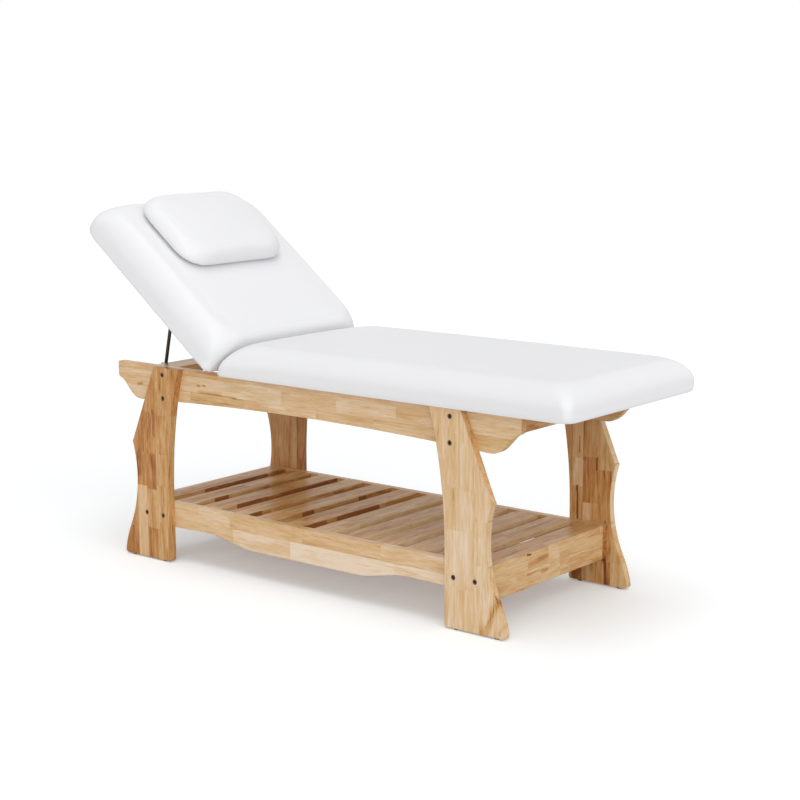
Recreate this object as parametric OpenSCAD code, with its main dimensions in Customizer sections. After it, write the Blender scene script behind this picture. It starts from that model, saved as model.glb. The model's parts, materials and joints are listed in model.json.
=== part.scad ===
// Treatment bed: slab-legged timber frame, slatted lower shelf, hinged lift back, padded top.
// X runs from the head end to the foot end, Y across the bed, Z up from the floor.
// The sizes are worked out about the middle of the frame, and place() then moves the
// whole bed so that its origin lies under the middle of its overall box.

/* [Frame] */
// Width over the outer faces of the legs
bed_w = 700; // [660:5:760]
// Height of the top of the timber frame
deck_h = 675; // [660:5:700]
// Thickness of the legs, rails and aprons
board_t = 25; // [22:0.5:26]
// Length of the two side rails
rail_len = 1700; // [1690:5:1720]
// Depth of a side rail in the middle of the bed
rail_mid_d = 102; // [95:1:115]
// Depth of a side rail where its arch ends
rail_end_d = 123; // [118:1:130]
// Distance from the middle of the bed to the foot of each arch
arch_half = 733; // [700:1:735]
// Height of the square end of a side rail
rail_tip_d = 50; // [45:1:60]

/* [Legs] */
// Distance from the middle of the bed to the straight inner edge of a leg
leg_in = 590; // [580:1:595]
// Distance from the middle of the bed to a leg's outer edge at the top
leg_top_out = 648; // [640:1:660]
// Distance from the middle of the bed to the horn of a leg
leg_horn = 764; // [755:1:775]
// Height of the horn
horn_h = 406; // [390:1:420]
// Distance from the middle of the bed to the narrow waist of a leg
leg_waist = 744; // [735:1:750]
// Height of the waist
waist_h = 283; // [270:1:295]
// Distance from the middle of the bed to the toe of a leg
leg_toe = 816; // [805:1:825]
// Radius of the long curve that widens the top of a leg inwards
leg_in_r = 1592; // [1400:1:1800]
// Height where that curve starts
leg_in_h = 250; // [230:1:270]
// Radius of the hollow between horn and toe
leg_hollow_r = 410; // [380:1:450]
// Height where the hollow turns over into the toe
toe_h = 105; // [98:1:112]
// Radius of the turn-over above the toe
toe_r = 320; // [280:1:380]
// Gap under the legs, filled by the glides
glide_h = 5; // [4:0.5:7]
// Diameter of a glide
glide_d = 17; // [14:0.5:20]

/* [Bolts] */
// Diameter of a bolt's socket head
head_d = 14; // [12:0.5:15]
// Height of a bolt's socket head
head_h = 8; // [6:0.5:9]
// Diameter of a bolt's shank
shank_d = 8; // [6:0.5:8]
// Distance between the two bolts of a pair
bolt_gap = 80; // [70:1:86]
// Drop from the frame's top to the first upper bolt
bolt_drop = 24; // [20:1:30]
// Distance from the middle of the bed to the upper bolts
bolt_x = 608.7; // [605:0.1:612]
// Distance from the middle of the bed to the first lower bolt
low_bolt_x = 622.5; // [618:0.1:626]
// Height of the lower bolts
low_bolt_h = 162.7; // [155:0.1:164]

/* [Shelf] */
// Length of the shelf frame
shelf_len = 1470; // [1460:2:1480]
// Height of the shelf's top
shelf_h = 209; // [204:1:220]
// Width of a slat
slat_w = 85.8; // [75:0.1:95]
// Thickness of a slat
slat_t = 18; // [15:0.5:20]
// Depth of the shelf's end rails and of the aprons' ends
apron_d = 111; // [105:1:120]
// Depth of an apron in its shallow stretches
apron_thin_d = 83; // [76:1:92]
// Depth of an apron at its middle drop
apron_mid_d = 113; // [105:1:120]
// Height of the cleat and the bearer that carry the slats
cleat_h = 20; // [16:1:22]
// Width of a cleat
cleat_w = 20; // [16:1:26]

/* [Cushions] */
// Distance from the middle of the bed to the seat cushion's head end
seat_head = 348; // [340:1:352]
// Distance from the middle of the bed to the seat cushion's foot end
seat_foot = 1033; // [1000:1:1060]
// Width of the seat cushion at its fullest
seat_w = 720; // [704:2:740]
// Height of the seat cushion's roll
seat_t = 106; // [95:1:115]
// Rise of the seat cushion's crown above the roll
seat_crown = 8; // [4:1:12]
// Width of the back cushion at its fullest
back_w = 736; // [704:2:744]
// Length of the back cushion
back_len = 732; // [700:2:756]
// Height of the back cushion's roll, with its board
back_t = 130; // [115:1:132]
// Rise of the back cushion's crown above the roll
back_crown = 10; // [4:1:12]
// Thickness of the plywood boards under the cushions
ply_t = 15; // [12:1:18]
// Width of the pillow
pillow_w = 483; // [450:1:510]
// Length of the pillow
pillow_len = 336; // [316:1:350]
// Height of the pillow's roll
pillow_t = 58; // [52:1:68]
// Rise of the pillow's crown above the roll
pillow_crown = 20; // [12:1:26]

/* [Lift back] */
// Angle at which the back stands
back_tilt = 38; // [30:0.5:40]
// Distance from the middle of the bed to the back's hinge line
hinge_dist = 377; // [376:0.5:380]
// Radius of a hinge knuckle
knuckle_r = 5; // [4:0.5:6]
// Radius of a hinge pin
hinge_pin_r = 3; // [2.5:0.1:3.2]
// Width of a hinge
hinge_w = 90; // [76:2:110]
// Diameter of the prop's rod
rod_d = 12; // [10:0.5:13]
// Lean of the prop towards the foot end
prop_lean = 11.9; // [8:0.1:15]
// Distance between the middles of the prop's two legs
prop_span = 510; // [480:2:520]
// Drop from the frame's top to the prop's pivot
prop_drop = 15; // [13:0.5:16]

/* [Hidden] */

// Overrun of the cuts, and the clearance between neighbours that must not touch
over = 1;
clear = 0.3;
// Running clearance of a pin in its eye
run = 0.05;

// Timber colours
pale_c = [0.86, 0.72, 0.52];
amber_c = [0.80, 0.58, 0.34];
vinyl_c = [0.95, 0.95, 0.94];
steel_c = [0.74, 0.74, 0.76];
dark_c = [0.13, 0.12, 0.12];

// Planes across the bed
leg_out_y = bed_w / 2;
rail_out_y = leg_out_y - board_t;
rail_in_y = rail_out_y - board_t;
shelf_end_x = shelf_len / 2;
rail_end_x = rail_len / 2;

// The back's own plane: s runs up the slope from the hinge line, n stands off the slope
hinge_x = -hinge_dist;
hinge_z = deck_h;
leaf_t = knuckle_r / 2;
back_n = leaf_t;
back_s0 = 8;
back_s1 = back_s0 + back_len;
// Height over which the back cushion's walls draw in below, and the board's inset
back_base = 12;
back_in = 24;
back_low_in = 16;

// Height and draw-in of a cushion's lower lip, as shares of its drawn-in base
lip_share = 0.4;
back_draw = 8;

// Forms of the cushions: radius of the corners seen from above and how fast it grows as the
// roll goes inwards; depth and height of the roll; its depth at the end with the break;
// its squareness; draw-in below and the height of that
seat_corner_r = 24;
seat_corner_grow = 0.74;
seat_roll_d = 62;
seat_roll_h = 65;
seat_break_d = 76;
seat_square = 1.6;
seat_draw = 12;
seat_base = 14;
back_corner_r = 43;
back_corner_grow = 1.5;
back_roll_d = 53;
back_roll_h = 88;
back_break_d = 26;
back_square = 1.8;
pillow_corner_r = 82;
pillow_corner_grow = 0.5;
pillow_roll_d = 31;
pillow_roll_h = 41;
pillow_square = 1.8;
pillow_draw = 16;
pillow_base = 18;
// Overall ends, for the origin: the seat's foot end and the raised back's head end
head_reach = hinge_dist + max([for (k = [0, lip_share, 1])
    (back_s1 - back_draw * (k == 0 ? 1 : k == 1 ? 0 : lip_share)) * cos(back_tilt)
    - (back_n + back_base * k) * sin(back_tilt)]);
centre_x = (seat_foot - head_reach) / 2;

module place() { translate([-centre_x, 0, 0]) children(); }

// Rounded outline corner: arc points about (x, z)
function arc(x, z, r, a0, a1, n) =
    [for (i = [0:n]) let (a = a0 + (a1 - a0) * i / n) [x + r * cos(a), z + r * sin(a)]];
// Smooth step from 0 to 1
function ease(t) = t * t * (3 - 2 * t);

// Extrudes an outline drawn in X and Z along Y, from y0 towards +Y
module along_y(y0, len) {
    translate([0, y0 + len, 0]) rotate([90, 0, 0]) linear_extrude(height = len) children();
}
module rod_y(x, z, y0, len, r, f = 48) {
    translate([x, y0 + len, z]) rotate([90, 0, 0]) cylinder(h = len, r = r, $fn = f);
}
// A block given by its low corner and its high corner
module block(a, b) { translate(a) cube(b - a); }

// Legs
horn_r = 6;
foot_r = 9;
heel_r = 8;
hollow_x = leg_waist + leg_hollow_r;
// Where the hollow is at the turn-over, and the centre of the convex turn-over
turn_dz = waist_h - toe_h;
turn_x = hollow_x - sqrt(leg_hollow_r * leg_hollow_r - turn_dz * turn_dz);
turn_run = toe_r * turn_dz / leg_hollow_r;
toe_cx = turn_x - (hollow_x - turn_x) * toe_r / leg_hollow_r;
toe_cz = toe_h - turn_run;
horn_slope = atan2(leg_horn - leg_top_out, deck_h - horn_h);
bolt_hole_r = shank_d / 2 + clear;
well_r = head_d / 2 + over;
well_d = head_h + over;

module leg_outline() {
    polygon(concat(
        [[leg_in - board_t * 4, deck_h], [leg_top_out, deck_h]],
        arc(leg_horn - horn_r, horn_h, horn_r, 90 - horn_slope, -10, 5),
        [[leg_waist, waist_h], [turn_x, toe_h], [leg_toe + toe_r / 4, toe_h],
         [leg_toe + toe_r / 4, glide_h]],
        arc(leg_in + heel_r, glide_h + heel_r, heel_r, -90, -180, 4),
        [[leg_in, leg_in_h], [leg_in - board_t * 4, leg_in_h]]));
}

module toe_outline() {
    polygon(concat(
        [[leg_in, glide_h], [leg_in, toe_h + over]],
        [[turn_x + over, toe_h + over]],
        [for (i = [0:8]) let (z = toe_h - (toe_h - glide_h - foot_r) * i / 8)
            [toe_cx + sqrt(toe_r * toe_r - (z - toe_cz) * (z - toe_cz)), z]],
        [[foot_x - foot_r * 0.3, glide_h + foot_r * 0.3], [foot_x - foot_r, glide_h]]));
}
foot_dz = glide_h + foot_r - toe_cz;
foot_x = toe_cx + sqrt(toe_r * toe_r - foot_dz * foot_dz);

// One leg, for the foot end on the far side
module leg() {
    difference() {
        along_y(rail_out_y, board_t) leg_outline();
        // inner widening curve
        rod_y(leg_in - leg_in_r, leg_in_h, rail_out_y - over, board_t + over * 2, leg_in_r, 180);
        // the blank's spare under that curve
        block([leg_in - board_t * 5, rail_out_y - over, leg_in_h - over],
            [leg_in, leg_out_y + over, leg_in_h]);
        // hollow above the toe
        intersection() {
            rod_y(hollow_x, waist_h, rail_out_y - over, board_t + over * 2, leg_hollow_r, 180);
            block([leg_waist - over, rail_out_y - over, toe_h],
                [leg_toe + toe_r, leg_out_y + over, horn_h + horn_r]);
        }
        // all beyond the toe
        difference() {
            block([leg_waist, rail_out_y - over, glide_h - over],
                [leg_toe + toe_r, leg_out_y + over, toe_h]);
            along_y(rail_out_y - over * 2, board_t + over * 4) toe_outline();
        }
        // bolt holes with wells for the heads
        for (p = bolt_places()) {
            rod_y(p[0], p[1], rail_out_y - over, board_t + over * 2, bolt_hole_r);
            rod_y(p[0], p[1], leg_out_y - well_d, well_d + over, well_r);
        }
    }
}
// Places of one leg's four bolts, in X and Z
function bolt_places() = [
    [bolt_x, deck_h - bolt_drop], [bolt_x, deck_h - bolt_drop - bolt_gap],
    [low_bolt_x, low_bolt_h], [low_bolt_x + bolt_gap, low_bolt_h]];

module flip_x() { mirror([1, 0, 0]) children(); }
module flip_y() { mirror([0, 1, 0]) children(); }

module leg_head_near() { color(amber_c) place() flip_x() flip_y() leg(); }
module leg_head_far() { color(amber_c) place() flip_x() leg(); }
module leg_foot_near() { color(pale_c) place() flip_y() leg(); }
module leg_foot_far() { color(amber_c) place() leg(); }

// Side rails
tip_r = 10;
ogee_steps = 12;
ogee_x1 = rail_end_x - tip_r / 2;
ogee_z0 = deck_h - rail_end_d;
ogee_z1 = deck_h - rail_tip_d - tip_r / 2;
arch_rise = rail_end_d - rail_mid_d;
arch_r = (arch_half * arch_half + arch_rise * arch_rise) / (2 * arch_rise);

function rail_end_points() = concat(
    [for (i = [0:ogee_steps]) let (t = i / ogee_steps)
        [arch_half + (ogee_x1 - tip_r / 2 - arch_half) * t,
         ogee_z0 + (ogee_z1 - tip_r / 4 - ogee_z0) * ease(pow(t, 1.5))]],
    arc(rail_end_x - tip_r, deck_h - rail_tip_d + tip_r / 2, tip_r, -60, 0, 4),
    arc(rail_end_x - tip_r / 2, deck_h - tip_r / 2, tip_r / 2, 0, 90, 3));

module side_rail() {
    pts = rail_end_points();
    n = len(pts);
    difference() {
        along_y(rail_in_y, board_t)
            polygon(concat(pts, [for (i = [n - 1:-1:0]) [-pts[i][0], pts[i][1]]]));
        rod_y(0, deck_h - rail_mid_d - arch_r, rail_in_y - over, board_t + over * 2, arch_r, 720);
        for (sx = [-1, 1], k = [0, 1])
            rod_y(sx * bolt_x, deck_h - bolt_drop - bolt_gap * k, rail_in_y - over,
                board_t + over * 2, bolt_hole_r);
    }
}
module side_rail_near() { color(pale_c) place() flip_y() side_rail(); }
module side_rail_far() { color(pale_c) place() side_rail(); }

// Rails across the bed
cross_d = rail_tip_d;
board_w = 100;
board_head_x = -680;
module cross_rail(x, d) {
    block([x - board_t, -rail_in_y, deck_h - d], [x, rail_in_y, deck_h]);
}
module foot_cross_rail() { color(pale_c) place() cross_rail(rail_end_x, cross_d); }
// The back's hinges are screwed to this rail's head side
hinge_rail_x = hinge_x + knuckle_r + clear + board_t;
module hinge_cross_rail() {
    color(pale_c) place() difference() {
        cross_rail(hinge_rail_x, cross_d + board_t);
        for (y = hinge_ys, k = [-1, 1], j = [0, 1])
            translate([hinge_rail_x - board_t - over, y + k * hinge_w / 4,
                hinge_z - hinge_screw_s(j)]) rotate([0, 90, 0])
                cylinder(h = screw_len + over * 2, r = screw_r + clear, $fn = 24);
    }
}
// Carries the middle of the seat board
seat_rail_x = (seat_foot - seat_head) / 2;
module seat_cross_rail() { color(pale_c) place() cross_rail(seat_rail_x, cross_d + board_t); }

// Flat board that carries the prop
flange_t = 2.5;
flange_w = 26;
flange_len = 40;
module head_cross_board() {
    color(pale_c) place() difference() {
        block([board_head_x, -rail_in_y, deck_h - board_t],
            [board_head_x + board_w, rail_in_y, deck_h]);
        for (sy = [-1, 1]) {
            // recess for the bracket's flange
            block([board_head_x - over, sy * flange_mid_y - flange_w / 2 - clear,
                deck_h - flange_t - clear],
                [board_head_x + flange_len + clear, sy * flange_mid_y + flange_w / 2 + clear,
                deck_h + over]);
            for (k = [0, 1])
                translate([flange_screw_x(k), sy * flange_mid_y, deck_h - screw_len - clear])
                    cylinder(h = screw_len + over, r = screw_r + clear, $fn = 24);
            // notch for the leg bolt's nut
            rod_y(-bolt_x, deck_h - bolt_drop, sy * (rail_in_y - nut_h / 2) - nut_h / 2 - over,
                nut_h + over * 2, nut_r + clear);
        }
    }
}

// Shelf: aprons under the shelf's long edges
function apron_points() = concat(
    [[0, shelf_h], [shelf_end_x, shelf_h], [shelf_end_x, shelf_h - apron_d],
     [apron_foot_x, shelf_h - apron_d]],
    [for (i = [1:8]) let (t = i / 8)
        [apron_foot_x - apron_foot_run * t,
         shelf_h - apron_d + (apron_d - apron_thin_d - apron_lift) * ease(t)]],
    [for (i = [1:6]) let (t = i / 6)
        [apron_foot_x - apron_foot_run - (apron_foot_x - apron_foot_run - apron_s1) * t,
         shelf_h - apron_thin_d - apron_lift * (1 - t)]],
    [for (i = [1:10]) let (t = i / 10)
        [apron_s1 - (apron_s1 - apron_s0) * t,
         shelf_h - apron_thin_d - (apron_mid_d - apron_thin_d) * ease(t)]],
    [[0, shelf_h - apron_mid_d]]);
apron_foot_x = shelf_end_x * 0.95;
apron_foot_run = 80;
apron_lift = 4;
apron_s1 = 430;
apron_s0 = 222;

module shelf_apron() {
    pts = apron_points();
    difference() {
        along_y(rail_in_y, board_t)
            polygon(concat(pts, [for (i = [len(pts) - 2:-1:1]) [-pts[i][0], pts[i][1]]]));
        for (sx = [-1, 1], k = [0, 1])
            rod_y(sx * (low_bolt_x + bolt_gap * k), low_bolt_h, rail_in_y - over,
                board_t + over * 2, bolt_hole_r);
    }
}
module shelf_apron_near() { color(pale_c) place() flip_y() shelf_apron(); }
module shelf_apron_far() { color(pale_c) place() shelf_apron(); }

// End rails of the shelf, with an eased top edge
ease_r = 5;
module shelf_end() {
    along_y(-rail_in_y, rail_in_y * 2)
        polygon(concat(
            [[shelf_end_x - board_t, shelf_h - apron_d], [shelf_end_x, shelf_h - apron_d]],
            arc(shelf_end_x - ease_r, shelf_h - ease_r, ease_r, 0, 90, 4),
            [[shelf_end_x - board_t, shelf_h]]));
}
module shelf_end_head() { color(amber_c) place() flip_x() shelf_end(); }
module shelf_end_foot() { color(amber_c) place() shelf_end(); }

// Bearer under the middle of the slats, and cleats along the aprons
slat_z = shelf_h - slat_t;
bearer_d = 40;
shelf_in_x = shelf_end_x - board_t;
module shelf_bearer() {
    color(amber_c) place()
        block([-shelf_in_x, -board_t / 2, slat_z - bearer_d], [shelf_in_x, board_t / 2, slat_z]);
}
module cleat() {
    block([-shelf_in_x, rail_in_y - cleat_w, slat_z - cleat_h], [shelf_in_x, rail_in_y, slat_z]);
}
module shelf_cleat_near() { color(amber_c) place() flip_y() cleat(); }
module shelf_cleat_far() { color(amber_c) place() cleat(); }

// Slats: twelve bands, the first and last completed by the end rails
slat_count = 12;
slat_pitch = (shelf_len - slat_w) / (slat_count - 1);
slat_ease = 2;
module slat(i) {
    x0 = i == 1 ? -shelf_in_x : -shelf_end_x + slat_pitch * (i - 1);
    x1 = i == slat_count ? shelf_in_x : -shelf_end_x + slat_pitch * (i - 1) + slat_w;
    e0 = i == 1 ? 0 : slat_ease;
    e1 = i == slat_count ? 0 : slat_ease;
    color(i % 2 == 0 ? pale_c : amber_c) place()
        along_y(-rail_in_y, rail_in_y * 2)
            polygon([[x0, slat_z], [x1, slat_z], [x1, shelf_h - e1], [x1 - e1, shelf_h],
                [x0 + e0, shelf_h], [x0, shelf_h - e0]]);
}

// Padded forms. A ring of the form is a rounded rectangle; the walls draw in below,
// roll over above, and the top rises to a crown in the middle.
ring_arc = 5;
ring_long = 6;
ring_short = 4;
function ring_xy(ex, ey, r) = concat(
    [for (k = [0:ring_short - 1]) [ex, -(ey - r) + (ey - r) * 2 * k / ring_short]],
    [for (i = [0:ring_arc - 1]) let (a = 90 * i / ring_arc)
        [ex - r + r * cos(a), ey - r + r * sin(a)]],
    [for (k = [0:ring_long - 1]) [ex - r - (ex - r) * 2 * k / ring_long, ey]],
    [for (i = [0:ring_arc - 1]) let (a = 90 + 90 * i / ring_arc)
        [-(ex - r) + r * cos(a), ey - r + r * sin(a)]],
    [for (k = [0:ring_short - 1]) [-ex, (ey - r) - (ey - r) * 2 * k / ring_short]],
    [for (i = [0:ring_arc - 1]) let (a = 180 + 90 * i / ring_arc)
        [-(ex - r) + r * cos(a), -(ey - r) + r * sin(a)]],
    [for (k = [0:ring_long - 1]) [-(ex - r) + (ex - r) * 2 * k / ring_long, -ey]],
    [for (i = [0:ring_arc - 1]) let (a = 270 + 90 * i / ring_arc)
        [ex - r + r * cos(a), -(ey - r) + r * sin(a)]]);
ring_n = 4 * ring_arc + 2 * ring_long + 2 * ring_short;
roll_steps = 8;
cap_shares = [0.86, 0.66, 0.44, 0.22];

// x0, x1: ends at their fullest; w: width; r, rk: plan corner radius and its growth inwards;
// t: height of the roll; ra, rb: depth and height of the roll; r0: depth of the roll at the
// x0 end; p: squareness of the roll; di: draw-in below; dh: its height; crown: rise of the top
module pad(x0, x1, w, r, rk, t, ra, rb, r0, p, di, dh, crown) {
    hy = w / 2;
    // one level: height, depth of the side, depth of the x0 end, share of the crown
    levels = concat(
        [[0, di, di, 0], [dh * lip_share, di * lip_share, di * lip_share, 0], [dh, 0, 0, 0]],
        [for (i = [0:roll_steps]) let (a = 90 * i / roll_steps, c = 1 - pow(cos(a), 2 / p),
            h = pow(sin(a), 2 / p)) [t - rb + rb * h, ra * c, r0 * c, h]]);
    rings = [for (l = levels)
        let (xa = x0 + l[2], xb = x1 - l[1], ex = (xb - xa) / 2, ey = hy - l[1],
            cr = min(r + rk * l[1], ex * 0.9, ey * 0.9))
        [for (q = ring_xy(ex, ey, cr))
            let (x = (xa + xb) / 2 + q[0], u = (x * 2 - x0 - x1) / (x1 - x0), v = q[1] / hy)
            [x, q[1], l[0] + l[3] * crown * (1 - u * u) * (1 - v * v)]]];
    last = rings[len(rings) - 1];
    mx = (x0 + r0 + x1 - ra) / 2;
    caps = [for (s = cap_shares)
        [for (q = last)
            let (x = mx + (q[0] - mx) * s, y = q[1] * s, u = (x * 2 - x0 - x1) / (x1 - x0),
                v = y / hy)
            [x, y, t + crown * (1 - u * u) * (1 - v * v)]]];
    um = (mx * 2 - x0 - x1) / (x1 - x0);
    all = concat(rings, caps);
    m = len(all);
    pts = concat([for (g = all) each g],
        [[mx, 0, t + crown * (1 - um * um)], [mx, 0, 0]]);
    top = m * ring_n;
    polyhedron(points = pts, convexity = 4, faces = concat(
        [for (j = [0:m - 2], i = [0:ring_n - 1]) let (k = (i + 1) % ring_n)
            each [[j * ring_n + i, (j + 1) * ring_n + k, j * ring_n + k],
                [j * ring_n + i, (j + 1) * ring_n + i, (j + 1) * ring_n + k]]],
        [for (i = [0:ring_n - 1]) let (k = (i + 1) % ring_n)
            [(m - 1) * ring_n + i, top, (m - 1) * ring_n + k]],
        [for (i = [0:ring_n - 1]) let (k = (i + 1) % ring_n) [k, top + 1, i]]));
}

// Seat: its board lies in the cushion's underside, and the skirt reaches the frame
skirt = 30;
seat_board_x0 = -seat_head + skirt * 4 / 3;
module seat_board() {
    color(pale_c) place()
        block([seat_board_x0, -rail_out_y + skirt / 6, deck_h],
            [seat_foot - skirt - skirt / 2, rail_out_y - skirt / 6, deck_h + ply_t]);
}
module seat_cushion() {
    color(vinyl_c) place() difference() {
        translate([0, 0, deck_h])
            pad(-seat_head, seat_foot, seat_w, seat_corner_r, seat_corner_grow, seat_t,
                seat_roll_d, seat_roll_h, seat_break_d, seat_square, seat_draw, seat_base,
                seat_crown);
        block([seat_board_x0 - clear, -rail_out_y + skirt / 6 - clear, deck_h - over],
            [seat_foot - skirt - skirt / 2 + clear, rail_out_y - skirt / 6 + clear,
            deck_h + ply_t + clear]);
    }
}

// Puts what is drawn in the back's own plane (X = s, Z = n) onto the bed
module on_back() {
    translate([hinge_x, 0, hinge_z]) rotate([0, back_tilt, 0]) flip_x() children();
}
back_board_s0 = back_s0 + back_low_in;
module back_board() {
    color(pale_c) place() on_back() difference() {
        block([back_board_s0, -back_board_y, back_n],
            [back_s1 - back_in, back_board_y, back_n + ply_t]);
        for (y = hinge_ys, k = [-1, 1], j = [0, 1])
            translate([back_screw_s(j), y + k * hinge_w / 4, back_n - over])
                cylinder(h = screw_len, r = screw_r + clear, $fn = 24);
    }
}
back_board_y = rail_out_y - skirt / 6;
module back_cushion() {
    color(vinyl_c) place() on_back() difference() {
        translate([0, 0, back_n])
            pad(back_s0, back_s1, back_w, back_corner_r, back_corner_grow, back_t,
                back_roll_d, back_roll_h, back_break_d, back_square, back_draw, back_base,
                back_crown);
        block([back_board_s0 - clear, -back_board_y - clear, back_n - over],
            [back_s1 - back_in + clear, back_board_y + clear, back_n + ply_t + clear]);
    }
}
// Pillow on the back, clear of the crown under it and a little towards the near side
pillow_share = 0.459;
pillow_s0 = back_s0 + back_len * pillow_share;
pillow_n = back_n + back_t + back_crown + clear;
pillow_side = 21;
module pillow() {
    color(vinyl_c) place() on_back()
        translate([0, -pillow_side, pillow_n])
            pad(pillow_s0, pillow_s0 + pillow_len, pillow_w, pillow_corner_r,
                pillow_corner_grow, pillow_t, pillow_roll_d, pillow_roll_h, pillow_roll_d,
                pillow_square, pillow_draw, pillow_base, pillow_crown);
}

// Hinges between the cross rail and the back board
hinge_ys = [-(rail_in_y - hinge_w), rail_in_y - hinge_w];
leaf_len = 38;
knuckle_len = hinge_w / 3;
screw_r = 2;
screw_len = 12;
screw_head_r = 4;
leaf_hole_r = screw_r + clear / 3;
hinge_pin_hole_r = hinge_pin_r + run;
leaf_long = back_board_s0 + leaf_len;
function hinge_screw_s(j) = leaf_len * (0.5 + 0.3 * j);
function back_screw_s(j) = back_board_s0 + leaf_len * (0.3 + 0.45 * j);
module hinge_leaves_frame() {
    color(steel_c) place() for (y = hinge_ys) difference() {
        union() {
            block([hinge_x + leaf_t, y - hinge_w / 2, hinge_z - leaf_len],
                [hinge_x + knuckle_r + clear, y + hinge_w / 2, hinge_z]);
            for (k = [-1, 1])
                rod_y(hinge_x, hinge_z, y - knuckle_len / 2 + k * knuckle_len, knuckle_len,
                    knuckle_r);
        }
        // room for the other leaf's knuckle
        rod_y(hinge_x, hinge_z, y - knuckle_len / 2 - clear, knuckle_len + clear * 2,
            knuckle_r + clear);
        rod_y(hinge_x, hinge_z, y - hinge_w, hinge_w * 2, hinge_pin_hole_r);
        for (k = [-1, 1], j = [0, 1])
            translate([hinge_x, y + k * hinge_w / 4, hinge_z - hinge_screw_s(j)])
                rotate([0, 90, 0]) cylinder(h = knuckle_r * 2, r = leaf_hole_r, $fn = 24);
    }
}
module hinge_leaves_back() {
    color(steel_c) place() on_back() for (y = hinge_ys) difference() {
        union() {
            block([0, y - hinge_w / 2, 0], [leaf_long, y + hinge_w / 2, leaf_t]);
            rod_y(0, 0, y - knuckle_len / 2, knuckle_len, knuckle_r);
        }
        for (k = [-1, 1])
            rod_y(0, 0, y - knuckle_len / 2 + k * knuckle_len - clear, knuckle_len + clear * 2,
                knuckle_r + clear);
        rod_y(0, 0, y - hinge_w, hinge_w * 2, hinge_pin_hole_r);
        for (k = [-1, 1], j = [0, 1])
            translate([back_screw_s(j), y + k * hinge_w / 4, -over])
                cylinder(h = leaf_t + over * 2, r = leaf_hole_r, $fn = 24);
    }
}
module hinge_pins() {
    color(steel_c) place() for (y = hinge_ys) {
        rod_y(hinge_x, hinge_z, y - hinge_w / 2, hinge_w, hinge_pin_r);
        for (k = [-1, 1])
            rod_y(hinge_x, hinge_z, y + k * (hinge_w / 2 + over) - over, over * 2,
                hinge_pin_r + over);
    }
}
// Screws of the leaves, into the cross rail and into the back board
module back_hinge_screws() {
    color(steel_c) place() on_back() for (y = hinge_ys, k = [-1, 1], j = [0, 1])
        translate([back_screw_s(j), y + k * hinge_w / 4, -screw_head_h]) union() {
            cylinder(h = screw_head_h, r = screw_head_r, $fn = 32);
            cylinder(h = screw_head_h + leaf_t + screw_len - over * 2, r = screw_r, $fn = 24);
        }
}
module hinge_screws() {
    color(steel_c) place() for (y = hinge_ys, k = [-1, 1], j = [0, 1])
        translate([hinge_x + leaf_t - screw_head_h, y + k * hinge_w / 4,
            hinge_z - hinge_screw_s(j)]) rotate([0, 90, 0]) union() {
            cylinder(h = screw_head_h, r = screw_head_r, $fn = 32);
            cylinder(h = screw_head_h + leaf_t + screw_len, r = screw_r, $fn = 24);
        }
}
screw_head_h = 1.6;

// Batten under the back board that bears on the prop's top bar
batten_h = 20;
batten_w = 30;
batten_nose_r = 9;
rod_r = rod_d / 2;
pivot_gap = 4;
pivot_x = board_head_x - rod_r - pivot_gap;
pivot_z = deck_h - prop_drop;
batten_n = back_n - batten_h;
// Pivot seen in the back's plane, and the rod's direction there
pivot_ds = -(pivot_x - hinge_x) * cos(back_tilt) + (pivot_z - hinge_z) * sin(back_tilt);
pivot_dn = (pivot_x - hinge_x) * sin(back_tilt) + (pivot_z - hinge_z) * cos(back_tilt);
rod_s = cos(prop_lean) * sin(back_tilt) - sin(prop_lean) * cos(back_tilt);
rod_n = sin(prop_lean) * sin(back_tilt) + cos(prop_lean) * cos(back_tilt);
bar_n = batten_n - clear - rod_r;
prop_len = (bar_n - pivot_dn) / rod_n;
bar_s = pivot_ds + rod_s * prop_len;
batten_y = prop_span / 2 - rod_d * 2.5;
module back_batten() {
    color(amber_c) place() on_back() along_y(-batten_y, batten_y * 2)
        polygon(concat(
            [[bar_s + batten_nose_r, back_n], [bar_s - batten_w + batten_nose_r, back_n],
             [bar_s - batten_w + batten_nose_r, batten_n]],
            arc(bar_s, batten_n + batten_nose_r, batten_nose_r, -90, 0, 6)));
}

// Prop: a bent steel rod that swings on two brackets
bend_r = 22;
eye_r = 9;
eye_w = 9;
pin_r = 4;
module bent_rod() {
    half = prop_span / 2;
    for (sy = [-1, 1]) {
        translate([0, sy * half, 0]) cylinder(h = prop_len - bend_r, r = rod_r, $fn = 48);
        translate([0, sy * (half - bend_r), prop_len - bend_r]) rotate([0, -90, 0])
            rotate([0, 0, sy > 0 ? 0 : -90])
                rotate_extrude(angle = 90, $fn = 64) translate([bend_r, 0]) circle(r = rod_r, $fn = 48);
    }
    translate([0, half - bend_r, prop_len]) rotate([90, 0, 0])
        cylinder(h = (half - bend_r) * 2, r = rod_r, $fn = 48);
}
module prop_frame() {
    color(steel_c) place() translate([pivot_x, 0, pivot_z]) rotate([0, prop_lean, 0])
        difference() {
            union() {
                bent_rod();
                for (sy = [-1, 1]) rod_y(0, 0, sy * prop_span / 2 - eye_w / 2, eye_w, eye_r);
            }
            for (sy = [-1, 1])
                rod_y(0, 0, sy * prop_span / 2 - eye_w, eye_w * 2, pin_r + run);
        }
}

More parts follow.
